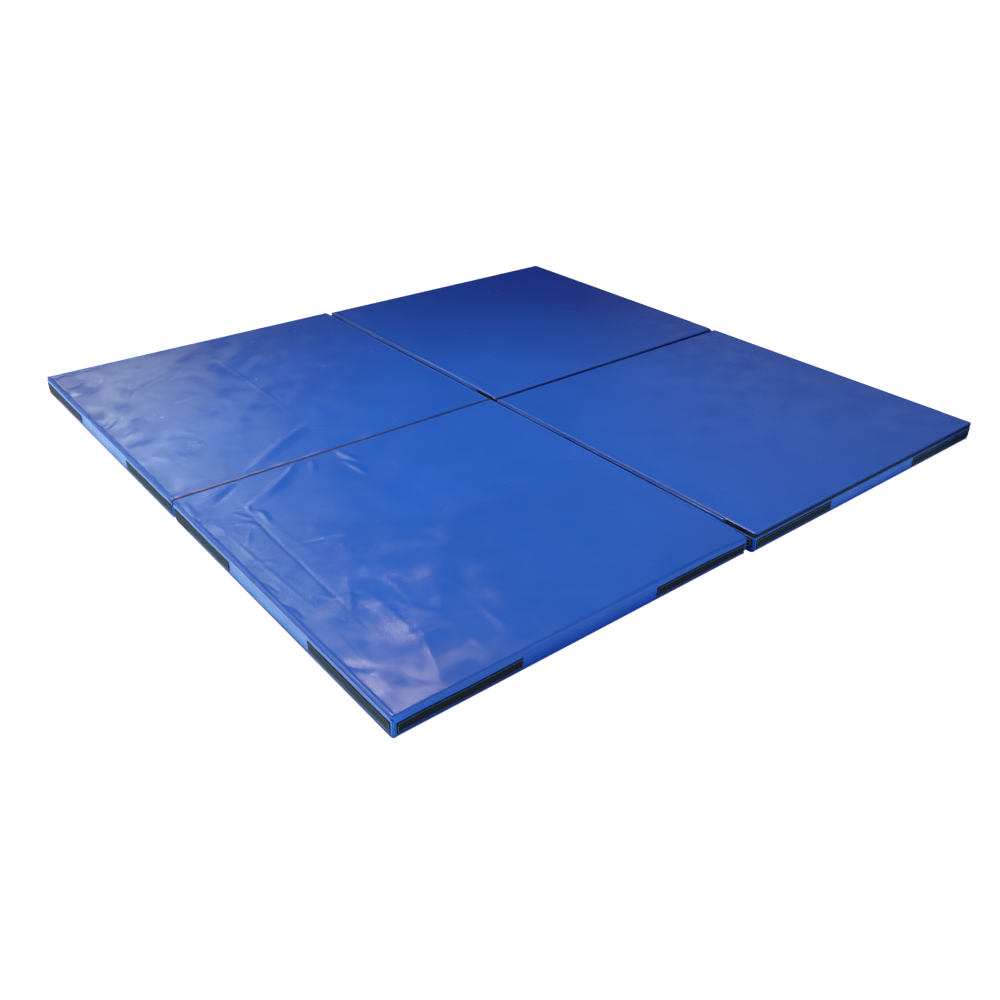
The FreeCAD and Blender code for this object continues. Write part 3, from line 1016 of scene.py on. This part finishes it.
def strip_material(name, colour, hooks):
    """Black woven tape: rows of stiff hooks, or a felt of small loops."""
    material, nodes = new_material(name)
    cloth, _, up = nodes.cloth()
    felt = nodes.noise(cloth, 900.0 if hooks else 620.0, 6.0, 0.75)
    height = felt
    if hooks:
        height = nodes.math("ADD", felt, nodes.math("MULTIPLY", nodes.wave(up, HOOK_PITCH), 0.5))
    lumps = nodes.noise(cloth, 60.0, 4.0, 0.6)
    lint = nodes.ramp(nodes.math("MULTIPLY", felt, lumps), 0.28, 0.5, 0.0, 0.5)
    smooth, rough = (0.55, 0.75) if hooks else (0.8, 0.95)
    nodes.shade(Base_Color=nodes.mix(lint, rgb(*colour), rgb(*(3.2 * c for c in colour))),
                Roughness=nodes.ramp(felt, 0.3, 0.7, smooth, rough),
                Normal=nodes.bump(height, 0.9, 0.6 * MM), Specular_IOR_Level=0.3,
                Sheen_Weight=0.03 if hooks else 0.08, Sheen_Roughness=0.5)
    return material


def tape_material():
    """Black herringbone tape of the zip."""
    material, nodes = new_material("zip_tape")
    cloth, along, up = nodes.cloth()
    slant = nodes.math("ADD", along, nodes.math("PINGPONG", up, 1.5 * MM))
    fade = nodes.ramp(nodes.noise(cloth, 80.0, 4.0), 0.3, 0.7)
    nodes.shade(Base_Color=nodes.mix(fade, rgb(0.012, 0.014, 0.022), rgb(0.022, 0.026, 0.038)),
                Roughness=nodes.ramp(fade, 0, 1, 0.6, 0.75),
                Normal=nodes.bump(nodes.wave(slant, TWILL_PITCH), 0.6, 0.15 * MM))
    return material


def object_material(name, first, second, rough, metal=0.0, scale=300.0, depth=0.05):
    """A finish that varies by the object's own coordinates, for small hard pieces."""
    material, nodes = new_material(name)
    place = nodes.add("ShaderNodeTexCoord").outputs["Object"]
    patches = nodes.noise(place, scale, 4.0, 0.6)
    nodes.shade(Base_Color=nodes.mix(nodes.ramp(patches, 0.35, 0.65), rgb(*first), rgb(*second)),
                Roughness=nodes.ramp(patches, 0.3, 0.7, rough - 0.07, rough + 0.07),
                Normal=nodes.bump(nodes.noise(place, 4 * scale, 3.0), 0.4, depth * MM),
                Metallic=metal)
    return material


def make_floor():
    mesh = bpy.data.meshes.new("floor")
    reach = 40.0
    mesh.from_pydata([(-reach, -reach, 0), (reach, -reach, 0), (reach, reach, 0),
                      (-reach, reach, 0)], [], [(0, 1, 2, 3)])
    floor = bpy.data.objects.new("floor", mesh)
    floor.location.z = -0.6 * MM
    scene.collection.objects.link(floor)
    material, nodes = new_material("floor_pale")
    nodes.shade(Base_Color=rgb(0.3, 0.3, 0.3), Roughness=0.9, Specular_IOR_Level=0.1,
                Emission_Color=rgb(1, 1, 1), Emission_Strength=1.0)
    floor.data.materials.append(material)
    # the floor is only a backdrop: the two bounce lamps stand for the light that comes off it
    floor.visible_diffuse = False
    floor.visible_glossy = False


def aimed(name, data, place, target):
    lamp = bpy.data.objects.new(name, data)
    lamp.location = place
    lamp.rotation_mode = "QUATERNION"
    lamp.rotation_quaternion = (Vector(target) - Vector(place)).to_track_quat("-Z", "Y")
    lamp.visible_camera = False
    scene.collection.objects.link(lamp)
    return lamp


def make_world():
    world = bpy.data.worlds.new("studio")
    scene.world = world
    world.use_nodes = True
    nodes = Nodes(world.node_tree)
    seen = nodes.add("ShaderNodeLightPath").outputs["Is Camera Ray"]
    nodes.feed(world.node_tree.nodes["Background"].inputs["Color"],
               nodes.mix(seen, rgb(0.045, 0.010, 0.180), rgb(1, 1, 1)))


CEILING = 2.26
ON_FLOOR = 0.5 * MM
MID_MAT = 0.03
DAYLIGHT = (0.90, 1.0, 0.80)
LAMPS = (
    # name, place, aimed at, size, radiance, colour
    ("window", (-0.2, 3.9, CEILING), (-0.2, 3.9, 0), (0.6, 1.4), 18.0, DAYLIGHT),
    ("window_near", (-0.1, 2.6, CEILING), (-0.1, 2.6, 0), (0.6, 1.2), 5.5, (0.7, 1.0, 0.6)),
    ("window_edge", (0.4, 2.6, CEILING), (0.4, 2.6, 0), (0.4, 1.2), 0.9, DAYLIGHT),
    ("far_wall", (4.0, 15.0, 2.0), (0, 0, 0), (6.0, 4.0), 0.3, (0.8, 0.9, 1.0)),
    ("left_bounce", (-2.014, 0.0, ON_FLOOR), (-2.014, 0.0, 1), (2.0, 4.0), 1.9,
     (0.68, 1.0, 0.98)),
    ("front_bounce", (-0.3, -2.0, ON_FLOOR), (-0.3, -2.0, 1), (2.4, 2.0), 0.9,
     (0.45, 0.90, 1.0)),
    ("front_fill", (-0.2, -4.0, 0.7), (-0.2, -1.0, MID_MAT), (4.0, 1.0), 3.5,
     (0.55, 0.90, 1.0)),
    ("right_haze", (6.0, 2.2, 2.2), (0.8, -0.6, 0), (4.0, 3.0), 0.3, (0.85, 1.0, 0.9)),
    ("right_fill", (4.2, 0.0, 0.4), (1.0, 0.0, MID_MAT), (4.0, 0.6), 3.0, (1, 1, 1)),
    ("back_fill", (0.0, 4.2, 0.3), (0.0, 1.0, MID_MAT), (4.0, 0.4), 3.0, (1, 1, 1)),
    ("left_sky", (-3.4, 3.4, CEILING), (-3.4, 3.4, 0), (2.0, 3.0), 7.0, (0.90, 0.97, 1.0)),
)
NO_GLOSS = ("right_fill", "back_fill")       # they light the sides behind, not the tops


def make_lights():
    """A bright ceiling window behind the left mat, a lamp above, light off the floor."""
    for name, place, target, size, radiance, colour in LAMPS:
        data = bpy.data.lights.new(name, "AREA")
        data.shape = "RECTANGLE"
        data.size, data.size_y = size
        data.energy = radiance * math.pi * size[0] * size[1]
        data.color = colour
        lamp = aimed(name, data, place, target)
        lamp.visible_glossy = name not in NO_GLOSS
    key = bpy.data.lights.new("key", "SPOT")
    key.spot_size = math.radians(75)
    key.spot_blend = 1.0
    key.shadow_soft_size = 0.35
    key.energy = 510
    key.color = (1.0, 0.83, 0.65)
    aimed("key", key, (-0.55, 0.35, 3.1), (-0.45, -0.8, 0))


make_camera()
make_world()
make_lights()
make_floor()
COVER = cover_material()
LOOP = strip_material("loop_tape", (0.0068, 0.0050, 0.0072), hooks=False)
HOOK = strip_material("hook_tape", (0.0056, 0.0042, 0.0060), hooks=True)
TAPE = tape_material()
TEETH = object_material("zip_chain", (0.014, 0.016, 0.022), (0.022, 0.024, 0.032), 0.35)
THREAD = object_material("thread", (0.24, 0.26, 0.32), (0.38, 0.40, 0.46), 0.6, scale=1500.0)
NICKEL = object_material("zip_slider", (0.50, 0.50, 0.52), (0.62, 0.62, 0.63), 0.3, 1.0)
STOP = object_material("zip_stop", (0.42, 0.42, 0.44), (0.55, 0.55, 0.56), 0.38, 1.0)
FOAM = object_material("foam", (0.62, 0.60, 0.52), (0.70, 0.68, 0.60), 0.9, scale=60.0,
                       depth=0.8)


def declare_cover(cover, panels, replaced):
    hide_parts(*(f"{name}_{replaced}" for name in panels))
    cover.data.materials.append(COVER)


def make_covers():
    for name, panel in PANELS.items():
        cover = face_cover(f"{name}_{'top' if panel.turned else 'bottom'}_cover", panel,
                           PANEL_STEP.get(name, HIDDEN_STEP), -FOLD_SIDE[name],
                           SLACK_EDGE if name == "left_far" else TIGHT_EDGE)
        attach(cover, name)
        declare_cover(cover, [name], "plain_face_sheet")
    cover = folding_cover("right_top_cover", PANELS["right_near"], PANELS["right_far"],
                          PANEL_STEP["right"])
    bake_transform(cover)
    declare_cover(cover, ["right_near", "right_far"], "fold_face_sheet")
    cover = folding_cover("left_bottom_cover", PANELS["left_far"], PANELS["left_near"],
                          HIDDEN_STEP)
    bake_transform(cover)
    declare_cover(cover, ["left_near", "left_far"], "fold_face_sheet")
    for name, panel in PANELS.items():
        cover = side_cover(f"{name}_side_cover", panel)
        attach(cover, name)
        declare_cover(cover, [name], "side_band")


def finish_piece(piece, panel, material, node=None):
    piece.data.materials.append(material)
    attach(piece, panel.name)
    if node:
        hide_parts(f"{panel.name}_{node}")


def make_panel_trim(panel):
    name = panel.name
    outlines = []
    for kind, material in (("loop", LOOP), ("hook", HOOK)):
        strips = [strip_frame(panel, low, high) for what, low, high in panel.strips
                  if what == kind]
        pieces = [strip_piece(f"{name}_{kind}_{i}", panel, strip)
                  for i, strip in enumerate(strips)]
        finish_piece(join(f"{name}_{kind}_tapes", pieces), panel, material,
                     f"{kind}_strips")
        outlines += [strip_outline(panel, strip) for strip in strips]
    finish_piece(stitches(f"{name}_strip_stitches", outlines), panel, THREAD)
    run = ZipRun(panel)
    finish_piece(zip_tapes(f"{name}_woven_tapes", panel, run), panel, TAPE,
                 "zip_tapes")
    finish_piece(zip_teeth(f"{name}_coils", panel, run), panel, TEETH, "zip_chain")
    finish_piece(stitches(f"{name}_zip_stitches", [zip_hem_line(panel, run)]), panel, THREAD)
    for node, material in (("zip_stops", STOP), ("zip_slider", NICKEL), ("zip_pull", NICKEL)):
        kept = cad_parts[f"{name}_{node}"]
        kept.data.materials.clear()
        kept.data.materials.append(material)


make_covers()
for panel in PANELS.values():
    foam = foam_block(f"{panel.name}_foam", panel)
    finish_piece(foam, panel, FOAM, "foam_core")
    make_panel_trim(panel)
